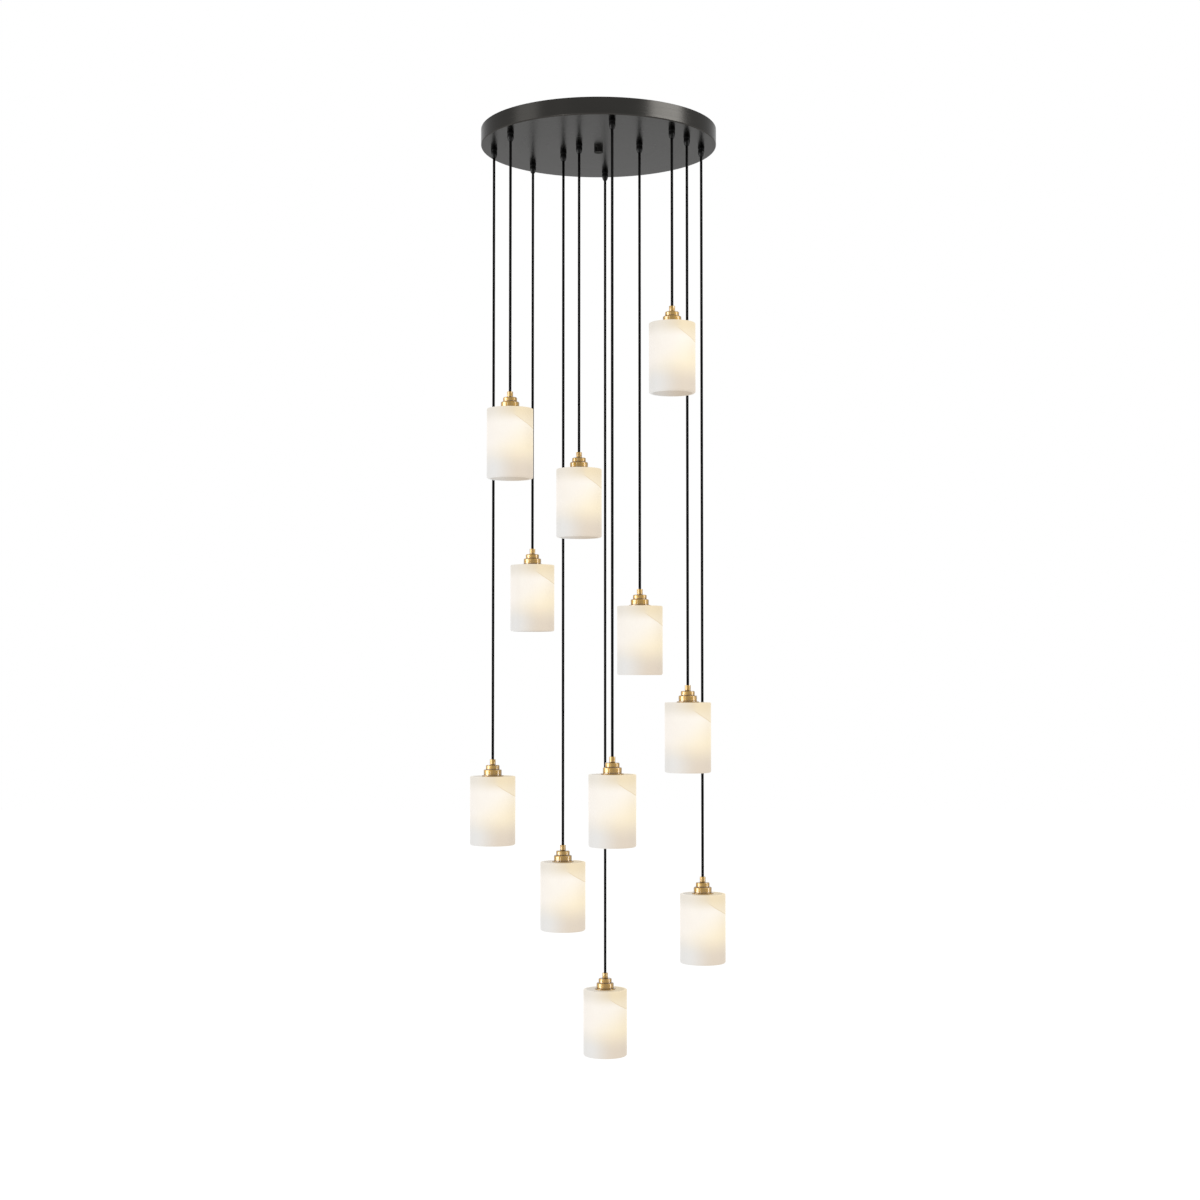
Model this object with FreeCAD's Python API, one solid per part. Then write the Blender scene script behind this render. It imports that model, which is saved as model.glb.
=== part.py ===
import FreeCAD, Part

import math
import os

from FreeCAD import Vector

# Round cluster pendant: one flat canopy on the ceiling carries eleven alabaster
# cylinder lamps on straight black cords of different lengths.
# Millimetres. The origin is on the ceiling at the middle of the canopy, +Z is up,
# the lamps hang down towards -Z and +Y points away from the viewer.

# Plan and drop of each pendant: across (X), deep (Y), and how far the top of its
# alabaster shade hangs below the underside of the canopy, shortest first.
pendants = [
    (136.0, -125.0, 362.0),
    (-164.0, -105.0, 518.0),
    (-37.0, -20.0, 621.0),
    (-130.0, 124.0, 795.0),
    (78.0, -25.0, 881.0),
    (166.0, -75.0, 1062.0),
    (25.0, -187.0, 1190.0),
    (-201.0, 12.0, 1203.0),
    (-68.0, 35.0, 1367.0),
    (197.0, 3.0, 1424.0),
    (13.0, 181.0, 1631.0),
]

# Clearances
thread_clearance = 0.05
running_clearance = 0.2
cord_clearance = 0.3

# How far a cutter reaches beyond the faces that it opens
cut_beyond = 1.0

# Canopy pan, spun from steel sheet
canopy_radius = 225.0
canopy_height = 32.0
canopy_sheet = 1.5
canopy_fold_radius = 3.0

# Ceiling bracket: a joggled flat bar with two screw slots
slot_spacing = 196.0
slot_length = 22.0
slot_width = 5.2
slot_end_margin = 11.0
bar_width = 28.0
bar_sheet = 2.5
bar_drop = 9.0
bar_ramp = 10.0
bar_bend_radius = 1.5

# Threaded centre rod with its two hexagon nuts and the finial nut below the canopy
rod_radius = 4.0
rod_above_bar = 7.0
rod_in_finial = 6.5
nut_across_flats = 13.0
nut_height = 6.5
finial_radius = 8.4
finial_height = 10.0
finial_edge = 1.2
finial_flutes = 16
finial_flute_radius = 0.9
finial_collar = 1.0

# Earth screw and terminal block on the bracket
earth_screw_radius = 2.0
earth_screw_head_radius = 4.0
earth_screw_head_height = 2.4
earth_screw_head_rounding = 1.0
earth_screw_length = 10.0
earth_screw_across = -42.0
terminal_from_rod = 25.0
terminal_length = 30.0
terminal_width = 17.0
terminal_height = 13.0
terminal_poles = 3
terminal_pitch = 9.5
terminal_wire_radius = 1.6
terminal_screw_radius = 1.9
terminal_well_wall = 1.0
terminal_screw_spacing = 9.0
terminal_barrel_radius = 3.6
terminal_edge = 1.5

# Cord and the cord grip that holds it in the canopy
cord_radius = 2.5
grip_thread_radius = 5.0
grip_thread_beyond_nut = 1.5
grip_flange_radius = 6.3
grip_flange_height = 3.0
grip_groove_radius = 5.6
grip_groove_height = 0.8
grip_cap_radius = 6.0
grip_cap_straight = 5.4
grip_cap_taper = 7.8
grip_taper_bulge = 0.8
grip_mouth_radius = 3.9
grip_mouth_depth = 1.0
grip_mouth_flare = 0.5
grip_nut_across_flats = 14.0
grip_nut_height = 3.0

# Stepped brass cap over the lampholder
collar_radius = 5.5
collar_height = 10.7
collar_edge = 0.5
collar_spigot_radius = 4.8
collar_spigot_length = 5.0
cord_in_collar = 6.0
cap_sheet = 1.2
cap_upper_radius = 13.0
cap_upper_height = 8.4
cap_upper_edge = 1.3
cap_lower_radius = 17.1
cap_lower_height = 10.9
cap_lower_edge = 1.4
plate_radius = 20.7
plate_sheet = 2.0
plate_edge = 0.7

# Alabaster shade: a turned cylinder, open below
shade_radius = 43.0
shade_height = 130.0
shade_wall = 7.5
shade_top_wall = 8.0
shade_foot_rounding = 3.5
shade_top_edge = 1.0
shade_mouth_chamfer = 1.0

# Lampholder with its threaded shade ring
holder_radius = 13.9
holder_shoulder_radius = 15.4
holder_shoulder_height = 2.6
holder_waist_height = 9.0
holder_neck_radius = 11.0
holder_neck_height = 16.0
holder_top_chamfer = 2.5
holder_below_shade_top = 34.0
holder_socket_depth = 26.0
ring_radius = 18.5
ring_flange_height = 2.0
ring_collar_radius = 16.4
ring_height = 8.0

# Tubular lamp with a small screw base
bulb_base_radius = 7.0
bulb_base_length = 24.0
bulb_shoulder_gap = 0.5
bulb_radius = 13.0
bulb_length = 52.0
bulb_shoulder = 7.0
bulb_neck_radius = 8.5
bulb_tip = 4.0

# Places that follow from the sizes above
canopy_underside = -canopy_height
canopy_floor = canopy_underside + canopy_sheet
bar_foot = slot_length + 2 * slot_end_margin
bar_length = slot_spacing + bar_foot
bar_top = -bar_drop
bar_underside = bar_top - bar_sheet
grip_length = grip_flange_height + grip_groove_height + grip_cap_straight + grip_cap_taper
grip_end = canopy_underside - grip_length
cord_pivot = grip_end + grip_mouth_depth
grip_bore_radius = cord_radius + cord_clearance
cap_height = plate_sheet + cap_lower_height + cap_upper_height
shade_hole_radius = holder_radius + running_clearance


def rounded_wire(corners):
    """Closed outline in the XZ plane. Each corner is (x, z) or (x, z, rounding)."""
    points = [Vector(corner[0], 0, corner[1]) for corner in corners]
    edges = []
    starts = []
    ends = []
    arcs = []
    for index, corner in enumerate(corners):
        point = points[index]
        if len(corner) == 2:
            starts.append(point)
            ends.append(point)
            arcs.append(None)
            continue
        back = (points[index - 1] - point).normalize()
        ahead = (points[(index + 1) % len(points)] - point).normalize()
        half_angle = back.getAngle(ahead) / 2
        reach = corner[2] / math.tan(half_angle)
        inward = (back + ahead).normalize()
        middle = point + inward * (corner[2] / math.sin(half_angle) - corner[2])
        starts.append(point + back * reach)
        ends.append(point + ahead * reach)
        arcs.append(Part.Arc(starts[-1], middle, ends[-1]).toShape())
    for index, point in enumerate(points):
        if arcs[index] is not None:
            edges.append(arcs[index])
        following = starts[(index + 1) % len(points)]
        if ends[index].distanceToPoint(following) > 1e-6:
            edges.append(Part.makeLine(ends[index], following))
    return Part.Wire(edges)


def turned(corners):
    """Solid turned about the Z axis from an outline of (radius, height) corners."""
    face = Part.Face(rounded_wire(corners))
    return face.revolve(Vector(0, 0, 0), Vector(0, 0, 1), 360)


def upright(radius, low, high, across=0.0, deep=0.0):
    """Cylinder along Z between two heights."""
    return Part.makeCylinder(radius, high - low, Vector(across, deep, low))


def hexagon_nut(across_flats, low, high, bore_radius):
    """Hexagon nut about the Z axis, with a plain bore in place of its thread."""
    corner_radius = across_flats / 2 / math.cos(math.radians(30))
    angles = [math.radians(60 * side) for side in range(7)]
    corners = [Vector(corner_radius * math.cos(a), corner_radius * math.sin(a), low) for a in angles]
    prism = Part.Face(Part.makePolygon(corners)).extrude(Vector(0, 0, high - low))
    return prism.cut(upright(bore_radius, low - cut_beyond, high + cut_beyond))


def placed(shape, across, deep, up=0.0):
    """Copy of a shape moved to its place."""
    copy = shape.copy()
    copy.translate(Vector(across, deep, up))
    return copy


def save(name, solids):
    """Write one node. Its separate pieces stay separate solids."""
    shape = solids[0] if len(solids) == 1 else Part.makeCompound(solids)
    shape.exportStep("parts/" + name + ".step")


# Canopy: a shallow round pan, open towards the ceiling, pierced for the centre rod
# and for the eleven cord grips.
def canopy_pan():
    rod_hole_radius = rod_radius + running_clearance
    inner_radius = canopy_radius - canopy_sheet
    pan = turned([
        (rod_hole_radius, canopy_underside),
        (canopy_radius, canopy_underside, canopy_fold_radius),
        (canopy_radius, 0),
        (inner_radius, 0),
        (inner_radius, canopy_floor, canopy_fold_radius - canopy_sheet),
        (rod_hole_radius, canopy_floor),
    ])
    grip_hole_radius = grip_thread_radius + running_clearance
    holes = [
        upright(
            grip_hole_radius, canopy_underside - cut_beyond, canopy_floor + cut_beyond, across, deep
        )
        for across, deep, drop in pendants
    ]
    return pan.cut(Part.makeCompound(holes))


# Ceiling bracket: both feet lie against the ceiling and the middle is joggled down,
# so that the rod's upper nut fits above it.
def bracket_bar():
    end = bar_length / 2
    foot = end - bar_foot
    middle = foot - bar_ramp
    inner = bar_bend_radius
    outer = bar_bend_radius + bar_sheet
    # the sloping stretch keeps the thickness of the strip
    slope = math.atan2(bar_drop, bar_ramp)
    lag = bar_sheet * math.tan(slope / 2)
    bar = Part.Face(rounded_wire([
        (-end, 0),
        (-foot, 0, outer),
        (-middle, bar_top, inner),
        (middle, bar_top, inner),
        (foot, 0, outer),
        (end, 0),
        (end, -bar_sheet),
        (foot + lag, -bar_sheet, inner),
        (middle + lag, bar_underside, outer),
        (-middle - lag, bar_underside, outer),
        (-foot - lag, -bar_sheet, inner),
        (-end, -bar_sheet),
    ])).extrude(Vector(0, bar_width, 0))
    bar.translate(Vector(0, -bar_width / 2, 0))
    low = bar_underside - cut_beyond
    high = bar_top + cut_beyond
    cutters = [upright(rod_radius + running_clearance, low, high)]
    cutters.append(upright(earth_screw_radius, low, high, earth_screw_across))
    low = -bar_sheet - cut_beyond
    high = cut_beyond
    half_slot = (slot_length - slot_width) / 2
    for side in (-1, 1):
        centre = side * slot_spacing / 2
        slot = Part.makeBox(
            2 * half_slot, slot_width, high - low,
            Vector(centre - half_slot, -slot_width / 2, low)
        )
        ends = [
            upright(slot_width / 2, low, high, centre + step)
            for step in (-half_slot, half_slot)
        ]
        cutters.append(slot.fuse(ends).removeSplitter())
    return bar.cut(cutters)


def bracket_fasteners():
    bore_radius = rod_radius + thread_clearance
    rod = upright(rod_radius, canopy_underside - rod_in_finial, bar_top + rod_above_bar)
    upper_nut = hexagon_nut(nut_across_flats, bar_top, bar_top + nut_height, bore_radius)
    lower_nut = hexagon_nut(nut_across_flats, bar_underside - nut_height, bar_underside, bore_radius)
    shank_radius = earth_screw_radius - thread_clearance
    earth_screw = turned([
        (0, bar_underside - earth_screw_head_height),
        (earth_screw_head_radius, bar_underside - earth_screw_head_height, earth_screw_head_rounding),
        (earth_screw_head_radius, bar_underside),
        (shank_radius, bar_underside),
        (shank_radius, bar_underside - earth_screw_head_height + earth_screw_length),
        (0, bar_underside - earth_screw_head_height + earth_screw_length),
    ])
    return [rod, upper_nut, lower_nut, placed(earth_screw, earth_screw_across, 0)]


# Finial nut: a fluted blind nut on the end of the rod, which pulls the canopy up
# against the ceiling.
def finial_nut():
    foot = canopy_underside - finial_height
    nut = turned([
        (0, foot),
        (finial_radius - finial_edge, foot),
        (finial_radius, foot + finial_edge),
        (finial_radius, canopy_underside),
        (rod_radius + thread_clearance, canopy_underside),
        (rod_radius + thread_clearance, canopy_underside - rod_in_finial),
        (0, canopy_underside - rod_in_finial),
    ])
    flutes = []
    for flute in range(finial_flutes):
        angle = 2 * math.pi * flute / finial_flutes
        flutes.append(upright(
            finial_flute_radius, foot - cut_beyond, canopy_underside - finial_collar,
            finial_radius * math.cos(angle), finial_radius * math.sin(angle)
        ))
    return nut.cut(flutes)


# Terminal block: the moulded strip on the bracket where the mains cable meets the
# cords, with a wire hole through each pole and two screw wells over it.
def terminal_block():
    top = bar_underside
    foot = top - terminal_height
    middle = (top + foot) / 2
    base = Part.makeBox(
        terminal_length, terminal_width, terminal_height / 2,
        Vector(-terminal_length / 2, -terminal_width / 2, middle)
    )
    poles = []
    holes = []
    for pole in range(terminal_poles):
        along = (pole - (terminal_poles - 1) / 2) * terminal_pitch
        poles.append(Part.makeCylinder(
            terminal_barrel_radius, terminal_width - 2 * terminal_edge,
            Vector(along, -terminal_width / 2 + terminal_edge, middle), Vector(0, 1, 0)
        ))
        holes.append(Part.makeCylinder(
            terminal_wire_radius, terminal_width + 2 * cut_beyond,
            Vector(along, -terminal_width / 2 - cut_beyond, middle), Vector(0, 1, 0)
        ))
        for side in (-1, 1):
            well = (along, side * terminal_screw_spacing / 2)
            poles.append(upright(terminal_screw_radius + terminal_well_wall, foot, middle, *well))
            holes.append(upright(terminal_screw_radius, foot - cut_beyond, middle, *well))
    block = base.fuse(poles).removeSplitter().cut(holes)
    return placed(block, terminal_from_rod + terminal_length / 2, 0)


# Cord grip: a black gland with a grooved cap that tapers to the cord. Its threaded
# stub goes through the canopy and a flat hexagon nut holds it from inside.
def cord_grip():
    below_flange = canopy_underside - grip_flange_height
    cap_top = below_flange - grip_groove_height
    taper_top = cap_top - grip_cap_straight
    thread_top = canopy_floor + grip_nut_height + grip_thread_beyond_nut
    mouth_bore = grip_bore_radius + grip_mouth_flare
    half_way = (grip_cap_radius + grip_mouth_radius) / 2 + grip_taper_bulge
    return turned([
        (grip_bore_radius, thread_top),
        (grip_thread_radius, thread_top),
        (grip_thread_radius, canopy_underside),
        (grip_flange_radius, canopy_underside),
        (grip_flange_radius, below_flange),
        (grip_groove_radius, below_flange),
        (grip_groove_radius, cap_top),
        (grip_cap_radius, cap_top),
        (grip_cap_radius, taper_top),
        (half_way, (taper_top + grip_end) / 2),
        (grip_mouth_radius, grip_end),
        (mouth_bore, grip_end),
        (grip_bore_radius, cord_pivot),
    ])


def grip_nut():
    low = canopy_floor
    return hexagon_nut(
        grip_nut_across_flats, low, low + grip_nut_height, grip_thread_radius + thread_clearance
    )


# Cord: straight round flex, pulled tight by its lamp. Its top is a ball end in the
# mouth of the grip, about which it swings, and its foot sits in the brass collar.
def cord(shade_top):
    foot = shade_top + cap_height + collar_height - cord_in_collar
    ball_break = math.radians(60)
    ball_top = cord_pivot + cord_radius * math.sin(ball_break)
    return turned([
        (0, foot),
        (cord_radius, foot),
        (cord_radius, cord_pivot),
        (cord_radius * math.cos(ball_break), ball_top),
        (0, ball_top),
    ])


# Brass cap: a turned collar that grips the cord, a spun shell with two steps, and a
# flat plate between the shell and the stone. Heights count from the shade's top.
def cap_pieces():
    ledge = cap_height + collar_height - cord_in_collar - cord_clearance
    collar = turned([
        (grip_bore_radius, ledge),
        (grip_bore_radius, cap_height + collar_height),
        (collar_radius - collar_edge, cap_height + collar_height),
        (collar_radius, cap_height + collar_height - collar_edge),
        (collar_radius, cap_height),
        (collar_spigot_radius, cap_height),
        (collar_spigot_radius, cap_height - collar_spigot_length),
        (cord_radius, cap_height - collar_spigot_length),
        (cord_radius, ledge),
    ])
    hole_radius = collar_spigot_radius + thread_clearance
    step = plate_sheet + cap_lower_height
    shell = turned([
        (hole_radius, cap_height),
        (cap_upper_radius - cap_upper_edge, cap_height),
        (cap_upper_radius, cap_height - cap_upper_edge),
        (cap_upper_radius, step),
        (cap_lower_radius - cap_lower_edge, step),
        (cap_lower_radius, step - cap_lower_edge),
        (cap_lower_radius, plate_sheet),
        (cap_lower_radius - cap_sheet, plate_sheet),
        (cap_lower_radius - cap_sheet, step - cap_sheet),
        (cap_upper_radius - cap_sheet, step - cap_sheet),
        (cap_upper_radius - cap_sheet, cap_height - cap_sheet),
        (hole_radius, cap_height - cap_sheet),
    ])
    plate = turned([
        (shade_hole_radius, 0),
        (plate_radius, 0),
        (plate_radius, plate_sheet - plate_edge),
        (plate_radius - plate_edge, plate_sheet),
        (shade_hole_radius, plate_sheet),
    ])
    return [collar, shell, plate]


def shade():
    inner_radius = shade_radius - shade_wall
    return turned([
        (shade_hole_radius, 0),
        (shade_radius - shade_top_edge, 0),
        (shade_radius, -shade_top_edge),
        (shade_radius, -shade_height, shade_foot_rounding),
        (inner_radius + shade_mouth_chamfer, -shade_height),
        (inner_radius, -shade_height + shade_mouth_chamfer),
        (inner_radius, -shade_top_wall),
        (shade_hole_radius, -shade_top_wall),
    ])


# Lampholder: its shoulder stands on the brass plate, its skirt goes down through the
# stone, and the ring screwed on from below clamps stone and plate together.
def lampholder_pieces():
    socket_radius = bulb_base_radius + running_clearance
    foot = -holder_below_shade_top
    waist = plate_sheet + holder_waist_height
    top = waist + holder_neck_height - holder_waist_height
    spigot_radius = collar_spigot_radius + thread_clearance
    spigot_foot = cap_height - collar_spigot_length
    body = turned([
        (0, foot + holder_socket_depth),
        (socket_radius, foot + holder_socket_depth),
        (socket_radius, foot),
        (holder_radius, foot),
        (holder_radius, plate_sheet),
        (holder_shoulder_radius, plate_sheet),
        (holder_shoulder_radius, plate_sheet + holder_shoulder_height),
        (holder_radius, plate_sheet + holder_shoulder_height),
        (holder_neck_radius, waist),
        (holder_neck_radius, top - holder_top_chamfer),
        (holder_neck_radius - holder_top_chamfer, top),
        (spigot_radius, top),
        (spigot_radius, spigot_foot),
        (0, spigot_foot),
    ])
    under_stone = -shade_top_wall
    bore = holder_radius + thread_clearance
    ring = turned([
        (bore, under_stone),
        (ring_radius, under_stone),
        (ring_radius, under_stone - ring_flange_height),
        (ring_collar_radius, under_stone - ring_flange_height),
        (ring_collar_radius, under_stone - ring_height),
        (bore, under_stone - ring_height),
    ])
    return [body, ring]


# Lamp: a screw base in the lampholder and a tubular opal envelope below it.
def bulb_pieces():
    seat = -holder_below_shade_top - bulb_shoulder_gap
    base = upright(bulb_base_radius, seat, seat + bulb_base_length)
    tip = seat - bulb_length
    envelope = turned([
        (0, seat),
        (bulb_neck_radius, seat),
        (bulb_radius, seat - bulb_shoulder),
        (bulb_radius, tip + bulb_tip),
        (bulb_radius - bulb_tip, tip),
        (0, tip),
    ])
    return [base, envelope]


os.makedirs("parts", exist_ok=True)

save("canopy_pan", [canopy_pan()])
save("ceiling_bracket", [bracket_bar()] + bracket_fasteners())
save("finial_nut", [finial_nut()])
save("terminal_block", [terminal_block()])

grips = []
for across, deep, drop in pendants:
    grips.append(placed(cord_grip(), across, deep))
    grips.append(placed(grip_nut(), across, deep))
save("cord_grips", grips)

lamp_groups = {
    "cap": cap_pieces(),
    "shade": [shade()],
    "lampholder": lampholder_pieces(),
    "bulb": bulb_pieces(),
}
for number, (across, deep, drop) in enumerate(pendants, start=1):
    shade_top = canopy_underside - drop
    suffix = "_%02d" % number
    save("cord" + suffix, [placed(cord(shade_top), across, deep)])
    for name, pieces in lamp_groups.items():
        save(name + suffix, [placed(piece, across, deep, shade_top) for piece in pieces])
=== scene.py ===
import math

import bpy
from mathutils import Matrix, Vector


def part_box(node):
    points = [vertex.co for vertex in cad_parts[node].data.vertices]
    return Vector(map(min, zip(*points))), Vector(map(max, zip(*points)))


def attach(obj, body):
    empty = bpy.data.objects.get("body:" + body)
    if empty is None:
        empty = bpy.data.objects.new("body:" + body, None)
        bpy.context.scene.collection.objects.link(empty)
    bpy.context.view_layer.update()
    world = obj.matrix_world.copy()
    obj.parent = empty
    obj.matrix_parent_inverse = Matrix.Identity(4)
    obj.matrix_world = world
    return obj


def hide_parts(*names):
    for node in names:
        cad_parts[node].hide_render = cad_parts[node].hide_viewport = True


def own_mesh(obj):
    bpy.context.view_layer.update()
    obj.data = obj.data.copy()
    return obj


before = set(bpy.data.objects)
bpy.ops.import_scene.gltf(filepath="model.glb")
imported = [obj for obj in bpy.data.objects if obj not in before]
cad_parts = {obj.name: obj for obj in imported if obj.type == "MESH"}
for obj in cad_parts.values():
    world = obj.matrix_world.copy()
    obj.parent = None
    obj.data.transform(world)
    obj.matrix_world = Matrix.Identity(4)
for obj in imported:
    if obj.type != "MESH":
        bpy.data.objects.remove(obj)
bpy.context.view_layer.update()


# The viewer stands well below the canopy and looks a little upwards at the light.
# The camera isn't part of the object.
picture_width = 1200
focal_length_in_pixels = 1966
upward_tilt = 2.3
camera_data = bpy.data.cameras.new("camera")
camera_data.sensor_width = 36
camera_data.lens = camera_data.sensor_width * focal_length_in_pixels / picture_width
camera = bpy.data.objects.new("camera", camera_data)
camera.location = (0.0028, -3.734, -1.0504)
camera.rotation_euler = (math.radians(90 + upward_tilt), 0, 0)
bpy.context.scene.collection.objects.link(camera)
bpy.context.scene.camera = camera


# Cords: eleven lengths of round black flex, each hanging straight from the mouth of its
# cord grip down into the brass collar of its lamp, pulled taut by the weight of the stone.
class Wire:
    """One output of a shader node. Sums written with it become Math nodes."""

    def __init__(self, socket):
        self.socket = socket

    def node(self, kind, settings=None, inputs=None, output=0):
        tree = self.socket.id_data
        made = tree.nodes.new("ShaderNode" + kind)
        for name, value in (settings or {}).items():
            setattr(made, name, value)
        for name, value in (inputs or {}).items():
            if isinstance(value, Wire):
                tree.links.new(value.socket, made.inputs[name])
            else:
                made.inputs[name].default_value = value
        return Wire(made.outputs[output])

    def maths(self, operation, first, second=0.0):
        return self.node("Math", {"operation": operation}, {0: first, 1: second})

    def __add__(self, other):
        return self.maths("ADD", self, other)

    def __radd__(self, other):
        return self.maths("ADD", other, self)

    def __sub__(self, other):
        return self.maths("SUBTRACT", self, other)

    def __rsub__(self, other):
        return self.maths("SUBTRACT", other, self)

    def __mul__(self, other):
        return self.maths("MULTIPLY", self, other)

    def __rmul__(self, other):
        return self.maths("MULTIPLY", other, self)

    def __truediv__(self, other):
        return self.maths("DIVIDE", self, other)

    def rise(self, low, high):
        """Smooth step from 0 at low to 1 at high."""
        return self.node(
            "MapRange", {"interpolation_type": "SMOOTHSTEP"},
            {"Value": self, "From Min": low, "From Max": high}
        )

    def tint(self, at_zero, at_one):
        """Colour between two colours, with this value as the share of the second."""
        return self.node("Mix", {"data_type": "RGBA"}, {0: self, 6: at_zero, 7: at_one}, 2)

    def axes(self):
        """The three parts of a vector."""
        return [self.node("SeparateXYZ", None, {0: self}, part) for part in range(3)]

    def joined(self, x, y, z):
        return self.node("CombineXYZ", None, {0: x, 1: y, 2: z})

    def noise(self, scale, detail=2.0, roughness=0.5):
        """Even noise from 0 to 1 over this vector."""
        return self.node(
            "TexNoise", None,
            {"Vector": self, "Scale": scale, "Detail": detail, "Roughness": roughness}
        )

    def relief(self, height, strength):
        """Normal that shows this value as a relief of so many metres."""
        return self.node("Bump", None, {"Height": self, "Distance": height, "Strength": strength})


def paint(red, green, blue):
    """Colour given as it looks on a screen, 0 to 255."""
    def linear(value):
        share = value / 255
        return share / 12.92 if share <= 0.04045 else ((share + 0.055) / 1.055) ** 2.4
    return (linear(red), linear(green), linear(blue), 1)


def new_finish(name, fixed, coordinates="Object"):
    """A material, its place over the piece in metres, and a call that feeds its shader."""
    material = bpy.data.materials.new(name)
    material.use_nodes = True
    shader = material.node_tree.nodes["Principled BSDF"]
    for socket, value in fixed.items():
        shader.inputs[socket].default_value = value
    if coordinates == "Object":
        source = material.node_tree.nodes.new("ShaderNodeTexCoord")
        place = Wire(source.outputs["Object"])
    else:
        source = material.node_tree.nodes.new("ShaderNodeAttribute")
        source.attribute_name = coordinates
        place = Wire(source.outputs["Vector"])

    def feed(**wires):
        for socket, wire in wires.items():
            material.node_tree.links.new(wire.socket, shader.inputs[socket.replace("_", " ")])

    return material, place, feed


def deselect():
    bpy.ops.object.select_all(action="DESELECT")


def pick(piece, edge_test=None, face_test=None):
    """Opens a piece for editing with only the edges or the faces that pass a test selected."""
    deselect()
    piece.select_set(True)
    bpy.context.view_layer.objects.active = piece
    mesh = piece.data
    for item in (*mesh.vertices, *mesh.edges, *mesh.polygons):
        item.select = False
    if edge_test:
        bpy.context.tool_settings.mesh_select_mode = (False, True, False)
        passed = [edge_test(vertex.co) for vertex in mesh.vertices]
        for edge in mesh.edges:
            edge.select = passed[edge.vertices[0]] and passed[edge.vertices[1]]
    else:
        bpy.context.tool_settings.mesh_select_mode = (False, False, True)
        for polygon in mesh.polygons:
            polygon.select = face_test(polygon)
    bpy.ops.object.mode_set(mode="EDIT")


def shade_smooth(corner_degrees=45):
    """Shades the piece in hand smooth, but for corners sharper than this."""
    bpy.ops.object.shade_smooth_by_angle(angle=math.radians(corner_degrees))


pendant_count = 11
pendants = ["%02d" % number for number in range(1, pendant_count + 1)]
cord_radius = 0.0025
cord_end_rounding = 0.0013
cord_smoothness = 4


def middle_of(low, high):
    """Place in plan of the middle of a box."""
    return (low.x + high.x) / 2, (low.y + high.y) / 2


cord_finish, place, feed = new_finish("black_flex", {"Specular IOR Level": 0.05})
jacket = place.noise(60, 3.0)
feed(
    Base_Color=jacket.tint(paint(5, 5, 5), paint(12, 11, 11)),
    Roughness=0.4 + jacket * 0.14,
)

for number in pendants:
    low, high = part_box("cord_" + number)
    across, deep = middle_of(low, high)
    curve = bpy.data.curves.new("cord_line", "CURVE")
    curve.dimensions = "3D"
    spline = curve.splines.new("NURBS")
    route = [high.z + (low.z - high.z) * share for share in (0, 1 / 3, 2 / 3, 1)]
    spline.points.add(len(route) - 1)
    for point, height in zip(spline.points, route):
        point.co = (across, deep, height, 1)
    spline.order_u = 3
    spline.use_endpoint_u = True
    line = bpy.data.objects.new("cord_line", curve)
    bpy.context.scene.collection.objects.link(line)
    centre_line = bpy.data.meshes.new_from_object(line)
    curve.bevel_depth = cord_radius
    curve.bevel_resolution = cord_smoothness
    curve.use_fill_caps = True
    deselect()
    line.select_set(True)
    bpy.context.view_layer.objects.active = line
    bpy.ops.object.convert(target="MESH")
    flex = bpy.context.object
    flex.name = flex.data.name = "flex_" + number
    bpy.ops.object.mode_set(mode="EDIT")
    bpy.ops.mesh.select_all(action="SELECT")
    bpy.ops.mesh.remove_doubles(threshold=0.00001)
    bpy.ops.mesh.normals_make_consistent(inside=False)
    bpy.ops.object.mode_set(mode="OBJECT")
    pick(flex, face_test=lambda polygon: polygon.normal.z > 0.9)
    bpy.ops.mesh.dissolve_faces()
    bpy.ops.mesh.bevel(offset=cord_end_rounding, segments=3, affect="EDGES")
    bpy.ops.object.mode_set(mode="OBJECT")
    shade_smooth(corner_degrees=40)
    flex.data.materials.clear()
    flex.data.materials.append(cord_finish)
    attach(flex, "hanging_cord_" + number)
    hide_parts("cord_" + number)
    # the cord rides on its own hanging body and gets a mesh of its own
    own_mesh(flex)


# Studio: a pale floor far below, a white surround, and soft lamps at the front left, at both
# sides of the canopy's rim and at both sides of the small turned pieces. None of it is part
# of the object.
floor_height = -2.3
floor_width = 30
floor_own_light = 0.8
white_floor_strength = 1.2
surround_level = 0.5
bpy.context.scene.view_settings.view_transform = "Standard"


def seen_share(tree):
    """1 for what the camera, a reflection or clear glass sees, and 0 for light on the object."""
    rays = tree.nodes.new("ShaderNodeLightPath").outputs
    seen = Wire(rays["Is Camera Ray"])
    for kind in ("Is Glossy Ray", "Is Transmission Ray"):
        seen = seen.maths("MAXIMUM", seen, Wire(rays[kind]))
    return seen


deselect()
bpy.ops.mesh.primitive_plane_add(size=floor_width, location=(0, 0, floor_height))
floor = bpy.context.object
floor.name = "floor"

floor_finish = bpy.data.materials.new("pale_floor")
floor_finish.use_nodes = True
tree = floor_finish.node_tree
tree.nodes.clear()
seen = seen_share(tree)
grain = seen.node("TexCoord", None, None, 3).noise(3.0)
matt = grain.node(
    "BsdfDiffuse", None, {"Color": grain.tint(paint(236, 236, 235), paint(241, 241, 240))}
)
white = seen.node(
    "Emission", None, {"Color": (1, 1, 1, 1), "Strength": white_floor_strength}
)
mixed = seen.node("MixShader", None, {0: seen * floor_own_light, 1: matt, 2: white})
output = tree.nodes.new("ShaderNodeOutputMaterial")
tree.links.new(mixed.socket, output.inputs["Surface"])
floor.data.materials.append(floor_finish)

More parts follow.
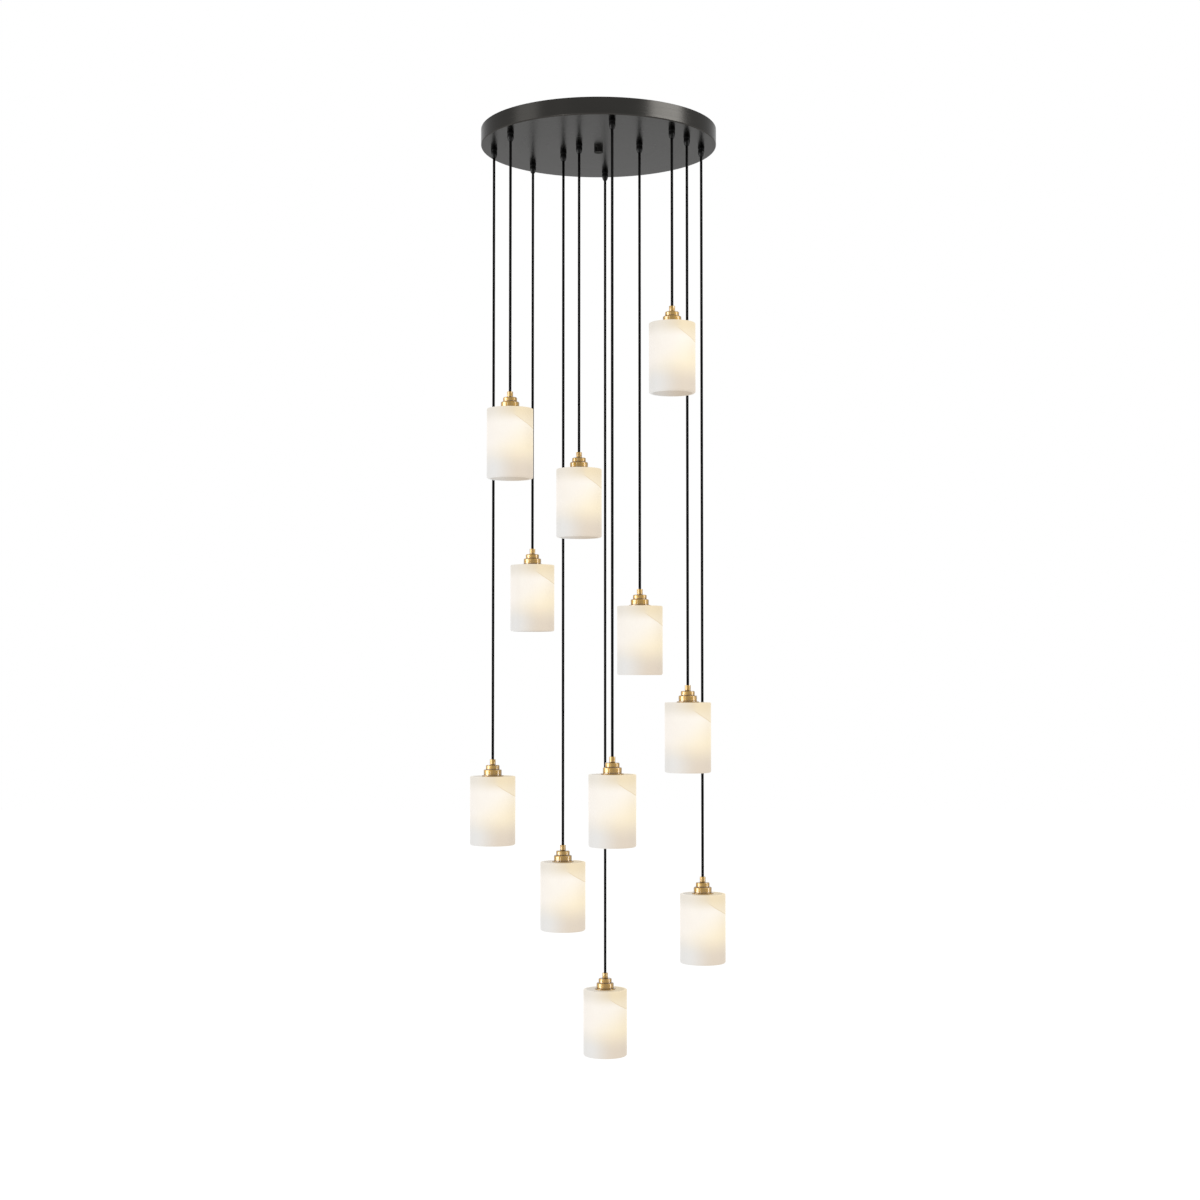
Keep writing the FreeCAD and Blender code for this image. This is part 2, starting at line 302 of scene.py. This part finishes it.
world = bpy.data.worlds.new("studio")
bpy.context.scene.world = world
world.use_nodes = True
tree = world.node_tree
tree.nodes.clear()
seen = seen_share(tree)
dim = seen.node("Background", None, {"Color": (1, 1, 1, 1), "Strength": surround_level})
bright = seen.node("Background", None, {"Color": (1, 1, 1, 1), "Strength": 1.0})
mixed = seen.node("MixShader", None, {0: seen, 1: dim, 2: bright})
output = tree.nodes.new("ShaderNodeOutputWorld")
tree.links.new(mixed.socket, output.inputs["Surface"])


def soft_lamp(name, place, target_height, width, height, power):
    """A flat lamp of this size in metres and watts, turned to the object's axis."""
    light = bpy.data.lights.new(name, "AREA")
    light.shape = "RECTANGLE"
    light.size = width
    light.size_y = height
    light.energy = power
    lamp = bpy.data.objects.new(name, light)
    lamp.location = place
    aim = Vector((0, 0, target_height)) - Vector(place)
    lamp.rotation_euler = aim.to_track_quat("-Z", "Y").to_euler()
    bpy.context.scene.collection.objects.link(lamp)
    return lamp


rim_target = 0.3
shades_middle = -0.9
soft_lamp("lamp_front_left", (-1.9, -2.9, shades_middle), shades_middle, 0.35, 2.6, 12)
soft_lamp("rim_left", (-2.95, -1.0, 0.8), rim_target, 1.4, 0.7, 6)
soft_lamp("rim_right", (2.85, -1.2, 0.8), rim_target, 2.0, 0.7, 40)

# two tall lamps draw the streaks of light on the small turned pieces, and light only them:
# the sections of those pieces put them into this collection
streaked = bpy.data.collections.new("streaked")
for streak in (
    soft_lamp("streak_left", (-3.0, -0.8, shades_middle), shades_middle, 2.1, 2.7, 145),
    soft_lamp("streak_right", (3.0, -0.6, shades_middle), shades_middle, 0.9, 2.7, 46),
):
    streak.light_linking.receiver_collection = streaked


# Canopy: one shallow round pan, spun from steel sheet and plated dark gunmetal, with a
# rounded fold between rim and underside. The lathe left fine brushed rings on the
# underside and lines that run round the rim. It is punched for the rod and the cords.
canopy_sides = 240
canopy_sheet = 0.0015
canopy_fold = 0.002
rim_edge = 0.0004
rod_hole = 0.0052
grip_hole = 0.0052
grip_hole_sides = 48
canopy_low, canopy_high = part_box("canopy_pan")
underside_height = canopy_low.z
canopy_floor = underside_height + canopy_sheet
canopy_radius = canopy_high.x
canopy_inner_radius = canopy_radius - canopy_sheet


def turned(name, sides, outline, rounding=0.0, open_ends=False):
    """Piece turned on a lathe, drawn out ring by ring from (radius, height) pairs."""
    deselect()
    radius, height = outline[0]
    bpy.ops.mesh.primitive_circle_add(
        vertices=sides, radius=radius, fill_type="NGON", location=(0, 0, height)
    )
    piece = bpy.context.object
    piece.name = piece.data.name = name
    bpy.ops.object.transform_apply(location=True)
    bpy.ops.object.mode_set(mode="EDIT")
    bpy.ops.mesh.select_all(action="SELECT")
    for next_radius, next_height in outline[1:]:
        bpy.ops.mesh.extrude_region_move(
            TRANSFORM_OT_translate={"value": (0, 0, next_height - height)}
        )
        share = next_radius / radius
        bpy.ops.transform.resize(value=(share, share, 1), center_override=(0, 0, next_height))
        radius, height = next_radius, next_height
    if open_ends:
        bpy.ops.object.mode_set(mode="OBJECT")
        pick(piece, face_test=lambda polygon: len(polygon.vertices) == sides)
        bpy.ops.mesh.delete(type="ONLY_FACE")
    bpy.ops.mesh.select_all(action="SELECT")
    bpy.ops.mesh.remove_doubles(threshold=0.000001)
    bpy.ops.mesh.normals_make_consistent(inside=False)
    bpy.ops.object.mode_set(mode="OBJECT")
    if rounding:
        bevel = piece.modifiers.new("rounding", "BEVEL")
        bevel.width = rounding
        bevel.segments = 3
        bevel.limit_method = "ANGLE"
        bevel.angle_limit = math.radians(30)
        bpy.ops.object.modifier_apply(modifier=bevel.name)
    shade_smooth()
    return piece


def round_ring(piece, radius, height, size):
    """Rounds the one ring of edges that lies at this radius and height."""
    near = 0.00002
    pick(piece, edge_test=lambda place: (
        abs(math.hypot(place.x, place.y) - radius) < near and abs(place.z - height) < near
    ))
    bpy.ops.mesh.bevel(offset=size, segments=6, affect="EDGES")
    bpy.ops.object.mode_set(mode="OBJECT")
    shade_smooth()


canopy = turned(
    "canopy_shell", canopy_sides,
    [
        (rod_hole, underside_height),
        (canopy_radius, underside_height),
        (canopy_radius, 0),
        (canopy_inner_radius, 0),
        (canopy_inner_radius, canopy_floor),
        (rod_hole, canopy_floor),
        (rod_hole, underside_height),
    ],
    open_ends=True
)
round_ring(canopy, canopy_radius, underside_height, canopy_fold)
round_ring(canopy, canopy_inner_radius, canopy_floor, canopy_fold - canopy_sheet)
round_ring(canopy, canopy_radius, 0, rim_edge)
round_ring(canopy, canopy_inner_radius, 0, rim_edge)

deselect()
punches = []
for number in pendants:
    bpy.ops.mesh.primitive_cylinder_add(
        vertices=grip_hole_sides, radius=grip_hole, depth=6 * canopy_sheet,
        location=(*middle_of(*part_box("cord_" + number)), underside_height)
    )
    punches.append(bpy.context.object)
for punch in punches:
    punch.select_set(True)
bpy.ops.object.join()
punch = bpy.context.object
holes = canopy.modifiers.new("holes", "BOOLEAN")
holes.object = punch
holes.operation = "DIFFERENCE"
deselect()
canopy.select_set(True)
bpy.context.view_layer.objects.active = canopy
bpy.ops.object.modifier_apply(modifier=holes.name)
bpy.data.objects.remove(punch)
shade_smooth()

canopy_finish, place, feed = new_finish(
    "brushed_gunmetal", {"Metallic": 1.0, "Specular Tint": (0.66, 0.66, 0.66, 1)}
)
lines_per_metre = 330
line_breaks_per_turn = 1.6
x, y, z = place.axes()
from_axis = place.maths("SQRT", x * x + y * y + 0.000001)
# this sum grows out along the underside and falls again up the rim, so its noise draws rings
# on both
across_rings = from_axis - z
brushing = place.joined(
    x / from_axis * line_breaks_per_turn,
    y / from_axis * line_breaks_per_turn,
    across_rings * lines_per_metre
)
lines = brushing.noise(1.0, 4.0, 0.7)
clouds = place.noise(7, 3.0)
plating = (clouds * 0.6 + lines * 0.4).tint(paint(45, 44, 42), paint(57, 56, 54))
# painted highlight: the plating is painted a little brighter along the fold, where the sum is
# greatest, as the bright line that the fold catches
fold_corner = canopy_radius - underside_height
fold_highlight = across_rings.rise(fold_corner - 1.4 * canopy_fold, fold_corner - 0.7 * canopy_fold)
feed(
    Base_Color=(fold_highlight * (0.4 + 0.6 * clouds)).tint(plating, paint(66, 64, 61)),
    Roughness=0.18 + lines * 0.14,
    Normal=lines.relief(0.00004, 0.2),
)
canopy.data.materials.clear()
canopy.data.materials.append(canopy_finish)
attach(canopy, "canopy")
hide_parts("canopy_pan")


# Cord grips: eleven glossy black moulded glands. Each has a flange on the canopy and a
# grooved screw cap that tapers to the cord, and a flat hexagon nut holds it from inside.
grip_sides = 40
grip_bore = 0.0028
grip_mouth = 0.0033
grip_thread = 0.005
grip_flange = 0.0063
grip_groove = 0.0056
grip_cap = 0.006
grip_tip = 0.0039
grip_flange_depth = 0.003
grip_groove_width = 0.0008
grip_cap_depth = 0.0054
grip_lead_in = 0.001
grips_low, grips_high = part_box("cord_grips")
grip_foot = grips_low.z
grip_top = grips_high.z


def copied(master, name, offset):
    """Copy of a finished piece with its own mesh, moved to its place."""
    copy = bpy.data.objects.new(name, master.data.copy())
    copy.data.name = name
    copy.data.transform(Matrix.Translation(offset))
    bpy.context.scene.collection.objects.link(copy)
    return copy


flange_foot = underside_height - grip_flange_depth
cap_start = flange_foot - grip_groove_width
taper_start = cap_start - grip_cap_depth
grip_outline = [
    (grip_bore, grip_top),
    (grip_thread, grip_top),
    (grip_thread, underside_height),
    (grip_flange, underside_height),
    (grip_flange, flange_foot),
    (grip_groove, flange_foot),
    (grip_groove, cap_start),
    (grip_cap, cap_start),
]
taper_steps = 6
taper_bulge = 1.7
for step in range(taper_steps + 1):
    share = step / taper_steps
    fall = grip_cap - (grip_cap - grip_tip) * share ** taper_bulge
    grip_outline.append((fall, taper_start + (grip_foot - taper_start) * share))
grip_outline += [
    (grip_mouth, grip_foot),
    (grip_bore, grip_foot + grip_lead_in),
    (grip_bore, grip_top),
]

gland_finish, place, feed = new_finish("black_gland", {"Specular IOR Level": 0.1})
skin = place.noise(900, 2.0)
feed(
    Base_Color=skin.tint(paint(7, 7, 7), paint(14, 14, 14)),
    Roughness=0.2 + skin * 0.14,
    Normal=skin.relief(0.00003, 0.2),
)

grip = turned("grip", grip_sides, grip_outline, rounding=0.0002, open_ends=True)
grip.data.materials.append(gland_finish)

locknut_across_flats = 0.014
locknut_depth = 0.003
locknut_bore = grip_thread + 0.0001
locknut_corner = locknut_across_flats / 2 / math.cos(math.radians(30))
locknut_top = canopy_floor + locknut_depth
locknut = turned(
    "locknut", 6,
    [
        (locknut_bore, canopy_floor),
        (locknut_corner, canopy_floor),
        (locknut_corner, locknut_top),
        (locknut_bore, locknut_top),
        (locknut_bore, canopy_floor),
    ],
    rounding=0.0003, open_ends=True
)
locknut.data.materials.append(gland_finish)

for number in pendants:
    spot = (*middle_of(*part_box("cord_" + number)), 0)
    for master, name in ((grip, "cord_grip_"), (locknut, "grip_locknut_")):
        copy = copied(master, name + number, spot)
        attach(copy, "canopy")
        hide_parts("cord_grips")
        streaked.objects.link(copy)
bpy.data.objects.remove(grip)
bpy.data.objects.remove(locknut)


# Finial nut: a small fluted knob on the centre rod, plated black nickel and turned by hand
# to pull the canopy up against the ceiling.
finial_finish, place, feed = new_finish(
    "black_nickel", {"Metallic": 1.0, "Specular Tint": (0.35, 0.35, 0.35, 1)}
)
skin = place.noise(260, 3.0)
feed(
    Base_Color=skin.tint(paint(58, 58, 57), paint(78, 78, 76)),
    Roughness=0.14 + skin * 0.1,
)


def refinish(node, material):
    """Gives a piece that came from the frame its own finish."""
    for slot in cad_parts[node].material_slots:
        slot.material = material


refinish("finial_nut", finial_finish)
streaked.objects.link(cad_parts["finial_nut"])


# Ceiling bracket: a joggled bar of zinc plated steel with its centre rod, nuts and earth
# screw. It is hidden by the canopy once the light hangs.
zinc_finish, place, feed = new_finish("zinc_steel", {"Metallic": 1.0})
spangle = place.noise(55, 5.0, 0.65)
drawn_out = place.node("Mapping", None, {"Vector": place, "Scale": (14, 900, 900)})
scratches = drawn_out.noise(1.0, 3.0)
feed(
    Base_Color=spangle.tint(paint(168, 172, 174), paint(205, 208, 206)),
    Roughness=0.24 + spangle * 0.2,
    Normal=scratches.relief(0.00005, 0.25),
)
refinish("ceiling_bracket", zinc_finish)


# Terminal block: natural nylon, moulded, with three poles.
nylon_finish, place, feed = new_finish("natural_nylon", {"Specular IOR Level": 0.4})
mould = place.noise(350, 3.0)
feed(
    Base_Color=mould.tint(paint(214, 208, 190), paint(232, 228, 214)),
    Roughness=0.4 + mould * 0.2,
    Normal=mould.relief(0.00005, 0.3),
)
refinish("terminal_block", nylon_finish)


# Brass caps: over each lampholder, a turned collar that grips the cord, a spun shell with
# two rounded steps, and a flat plate that lies on the stone. Satin polished, under a clear
# lacquer. Heights count from the top of the stone.
cap_sides = 72
collar_radius = 0.0055
collar_bore = 0.0028
collar_foot = 0.0213
collar_top = 0.032
cord_pocket_foot = collar_top - 0.0063
step_height = 0.0129
shell_wall = 0.0012
upper_radius = 0.013
upper_rounding = 0.0018
lower_radius = 0.0171
lower_rounding = 0.002
step_rounding = 0.0005
plate_radius = 0.0207
plate_sheet = 0.002
holder_hole = 0.0141
spigot_radius = 0.0048
spigot_foot = collar_foot - 0.005

brass_finish, place, feed = new_finish(
    "lacquered_brass",
    {
        "Metallic": 1.0, "Specular Tint": (0.4, 0.34, 0.28, 1),
        "Coat Weight": 1.0, "Coat Roughness": 0.1, "Coat IOR": 1.7,
    },
    "cap_place"
)
lines_per_metre = 4200
line_breaks_per_turn = 1.2
x, y, z = place.axes()
from_axis = place.maths("SQRT", x * x + y * y + 0.0000001)
turning = place.joined(
    x / from_axis * line_breaks_per_turn,
    y / from_axis * line_breaks_per_turn,
    (from_axis + z) * lines_per_metre
)
lines = turning.noise(1.0, 3.0, 0.6)
tarnish = place.noise(90, 4.0)
polished = tarnish.tint(paint(137, 103, 18), paint(155, 121, 46))


def corner_at(radius, height):
    """Share near one inner corner, where the brass is painted darker as shade and left a little
    rougher, where the polishing wheel can't reach.
    """
    aside, above = from_axis - radius, z - height
    return place.maths("SQRT", aside * aside + above * above).rise(0.0024, 0.0003)


# painted shade: the cap's inner corners are painted dark brown, and made a little rougher
shaded_dull_corners = (
    corner_at(upper_radius, step_height) + corner_at(collar_radius, collar_foot)
    + corner_at(lower_radius, plate_sheet)
)
feed(
    Base_Color=(shaded_dull_corners * 0.8).tint(polished, paint(80, 48, 12)),
    Roughness=0.45 + lines * 0.08 + tarnish * 0.08 + shaded_dull_corners * 0.15,
    Normal=lines.relief(0.00002, 0.15),
)

collar = turned(
    "collar", cap_sides,
    [
        (collar_bore, cord_pocket_foot),
        (collar_bore, collar_top),
        (collar_radius, collar_top),
        (collar_radius, collar_foot),
        (spigot_radius, collar_foot),
        (spigot_radius, spigot_foot),
        (cord_radius, spigot_foot),
        (cord_radius, cord_pocket_foot),
        (collar_bore, cord_pocket_foot),
    ],
    rounding=0.0004, open_ends=True
)
shell = turned(
    "shell", cap_sides,
    [
        (spigot_radius, collar_foot),
        (upper_radius, collar_foot),
        (upper_radius, step_height),
        (lower_radius, step_height),
        (lower_radius, plate_sheet),
        (lower_radius - shell_wall, plate_sheet),
        (lower_radius - shell_wall, step_height - shell_wall),
        (upper_radius - shell_wall, step_height - shell_wall),
        (upper_radius - shell_wall, collar_foot - shell_wall),
        (spigot_radius, collar_foot - shell_wall),
        (spigot_radius, collar_foot),
    ],
    open_ends=True
)
plate = turned(
    "plate", cap_sides,
    [
        (holder_hole, 0),
        (plate_radius, 0),
        (plate_radius, plate_sheet),
        (holder_hole, plate_sheet),
        (holder_hole, 0),
    ],
    rounding=0.0006, open_ends=True
)
round_ring(shell, upper_radius, collar_foot, upper_rounding)
round_ring(shell, lower_radius, step_height, lower_rounding)
round_ring(shell, upper_radius, step_height, step_rounding)


def keep_place(piece, name):
    """Stores each point's place on the piece itself, so that its copies look alike."""
    layer = piece.data.attributes.new(name, "FLOAT_VECTOR", "POINT")
    for vertex, value in zip(piece.data.vertices, layer.data):
        value.vector = vertex.co


def hung(master, piece_name, node, lit_by_streaks=False):
    """Hangs eleven copies, one on each lamp, in place of a piece of the frame."""
    for number in pendants:
        low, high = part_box("shade_" + number)
        copy = copied(master, piece_name + number, (*middle_of(low, high), high.z))
        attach(copy, "lamp_" + number)
        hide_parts(node + number)
        if lit_by_streaks:
            streaked.objects.link(copy)
    bpy.data.objects.remove(master)


for piece, piece_name in (
    (collar, "brass_collar_"), (shell, "brass_shell_"), (plate, "brass_plate_")
):
    keep_place(piece, "cap_place")
    piece.data.materials.append(brass_finish)
    hung(piece, piece_name, "cap_", lit_by_streaks=True)


# Shades: cylinders turned from alabaster, honed matt, closed above but for the hole that
# the lampholder passes, and open below. The lamp inside makes the stone glow.
shade_sides = 96
shade_radius = 0.043
shade_height = 0.13
shade_wall = 0.0075
shade_top_wall = 0.008
shade_inner_radius = shade_radius - shade_wall
foot_rounding = 0.0035
top_rounding = 0.0016
inner_rounding = 0.0012

deselect()
bpy.ops.mesh.primitive_cylinder_add(
    vertices=shade_sides, radius=shade_radius, depth=shade_height,
    location=(0, 0, -shade_height / 2)
)
shade = bpy.context.object
shade.name = shade.data.name = "shade"
bpy.ops.object.transform_apply(location=True)


def pick_ends(piece, *heights):
    """Opens a piece for editing with its flat end faces at these heights selected."""
    pick(piece, face_test=lambda polygon: len(polygon.vertices) == shade_sides and any(
        abs(polygon.center.z - height) < 0.00001 for height in heights
    ))


pick_ends(shade, -shade_height)
bpy.ops.mesh.inset(thickness=shade_wall)
bpy.ops.mesh.extrude_region_move(
    TRANSFORM_OT_translate={"value": (0, 0, shade_height - shade_top_wall)}
)
bpy.ops.mesh.inset(thickness=shade_inner_radius - holder_hole)
bpy.ops.object.mode_set(mode="OBJECT")
pick_ends(shade, 0)
bpy.ops.mesh.inset(thickness=shade_radius - holder_hole)
bpy.ops.object.mode_set(mode="OBJECT")
pick_ends(shade, 0, -shade_top_wall)
bpy.ops.mesh.bridge_edge_loops()
bpy.ops.mesh.select_all(action="SELECT")
bpy.ops.mesh.normals_make_consistent(inside=False)
bpy.ops.object.mode_set(mode="OBJECT")
round_ring(shade, shade_radius, -shade_height, foot_rounding)
round_ring(shade, shade_radius, 0, top_rounding)
round_ring(shade, shade_inner_radius, -shade_height, inner_rounding)
keep_place(shade, "stone_place")

stone_finish, place, feed = new_finish(
    "alabaster", {"Emission Strength": 0.73, "Specular IOR Level": 0.2}, "stone_place"
)
# aside runs from -1 at the left to 1 at the right, depth from -1 at the front to 1 at the
# back, and down from 0 at the top to 1 at the foot
x, y, z = place.axes()
aside = x / shade_radius
depth = y / shade_radius
down = z / -shade_height
from_axis = place.maths("SQRT", x * x + y * y)
drift = (place.noise(16, 3.0) - 0.5) * 0.12
drift_fine = (place.noise(70, 2.0) - 0.5) * 0.02
to_right = (aside + drift).rise(-0.85, 0.5)
# the vein runs down to the right and on round the back, where it fades, and the stone
# above it is yellower
vein_top = 0.064
vein_fall = 0.225
vein_turn = 0.2
round_place = aside + (1 - aside) * 1.8 * depth.rise(-0.15, 0.15)
vein_place = vein_top + aside.maths("MAXIMUM", round_place, vein_turn) * vein_fall + drift_fine
under_vein = down - vein_place
vein_shows = aside.rise(0.1, 0.4) * depth.rise(0.95, 0.2)
above_vein = under_vein.rise(0.012, -0.004) * vein_shows
# the stone glows least at its top, where it is yellower, and at its foot, where it is greyer
from_above = (down + drift * 0.3).rise(0.04, 0.25)
from_below = (down + drift * 0.5 - to_right * 0.04).rise(0.87, 0.5)
upper_stone = to_right.tint(paint(238, 232, 222), paint(233, 217, 187))
lower_stone = to_right.tint(paint(235, 234, 232), paint(224, 211, 194))
# the glow is whitest above and to the left, and warmer below and to the right
warm = (aside + (down - 0.5) * 3.2).rise(-0.93, 1.27)
white_glow = aside.rise(-1.1, -0.3).tint(paint(255, 249, 242), paint(253, 247, 238))
lit_stone = warm.tint(white_glow, paint(251, 237, 208))
dull_stone = down.rise(0.35, 0.65).tint(upper_stone, lower_stone)
body = (from_above * from_below).tint(dull_stone, lit_stone)
corner = (above_vein * 0.65).tint(body, paint(243, 226, 192))
vein = under_vein.maths("ABSOLUTE", under_vein).rise(0.011, 0.0)
veined = (vein * vein_shows * 0.5).tint(corner, paint(214, 194, 158))
cloud = place.noise(38, 4.0, 0.6)
stone = (cloud.rise(0.3, 0.8) * 0.07).tint(veined, paint(240, 222, 206))
# the inside and the flanks glow a little less than the front and the back
inside = from_axis.rise(shade_radius - 0.003, shade_inner_radius)
flank = (aside * aside).rise(0.1, 1.0)
dark = (0, 0, 0, 1)
lamplight = (inside * 0.3 + flank * 0.08).tint(stone, dark)
# most of what is seen comes through the stone, so it takes less of the room's light
daylight = place.node("Mix", {"data_type": "RGBA"}, {0: 0.6, 6: stone, 7: dark}, 2)
feed(
    Base_Color=daylight,
    Emission_Color=lamplight,
    Roughness=0.5 + place.noise(160, 3.0) * 0.2,
    Normal=place.noise(240, 4.0).relief(0.0001, 0.1),
)
shade.data.materials.append(stone_finish)
hung(shade, "alabaster_shade_", "shade_")


# Lampholders: black moulded thermoset. The shoulder stands on the brass plate, and the
# ring screwed on from below clamps the stone.
holder_finish, place, feed = new_finish("black_thermoset", {"Specular IOR Level": 0.5})
skin = place.noise(500, 3.0)
feed(
    Base_Color=skin.tint(paint(20, 19, 18), paint(33, 31, 29)),
    Roughness=0.3 + skin * 0.15,
    Normal=skin.relief(0.00004, 0.25),
)
for number in pendants:
    refinish("lampholder_" + number, holder_finish)


# Lamps: tubular opal glass on a small screw base, lit. The glass is a little dimmer where
# it narrows to the base.
lamp_sides = 48
base_radius = 0.007
base_top = -0.0105
lamp_seat = -0.0345
lamp_neck = 0.0085
lamp_radius = 0.013
lamp_shoulder = 0.007
lamp_tip = lamp_seat - 0.052
dome_height = lamp_radius * 0.6
dome_steps = 7
lamp_outline = [
    (base_radius, base_top),
    (base_radius, lamp_seat),
    (lamp_neck, lamp_seat),
    (lamp_radius, lamp_seat - lamp_shoulder),
]
for step in range(dome_steps):
    angle = math.radians(90) * step / dome_steps
    lamp_outline.append((
        lamp_radius * math.cos(angle),
        lamp_tip + dome_height * (1 - math.sin(angle))
    ))
lamp = turned("lamp", lamp_sides, lamp_outline)
keep_place(lamp, "lamp_place")
glass_finish, place, feed = new_finish(
    "lit_opal_glass", {"Emission Strength": 0.9}, "lamp_place"
)
x, y, z = place.axes()
along = z.rise(lamp_seat - 0.004, lamp_seat - 0.02)
opal = along.tint(paint(236, 206, 160), paint(255, 247, 232))
feed(Base_Color=opal, Emission_Color=opal, Roughness=0.16 + place.noise(300) * 0.08)
lamp.data.materials.append(glass_finish)
hung(lamp, "opal_lamp_", "bulb_")
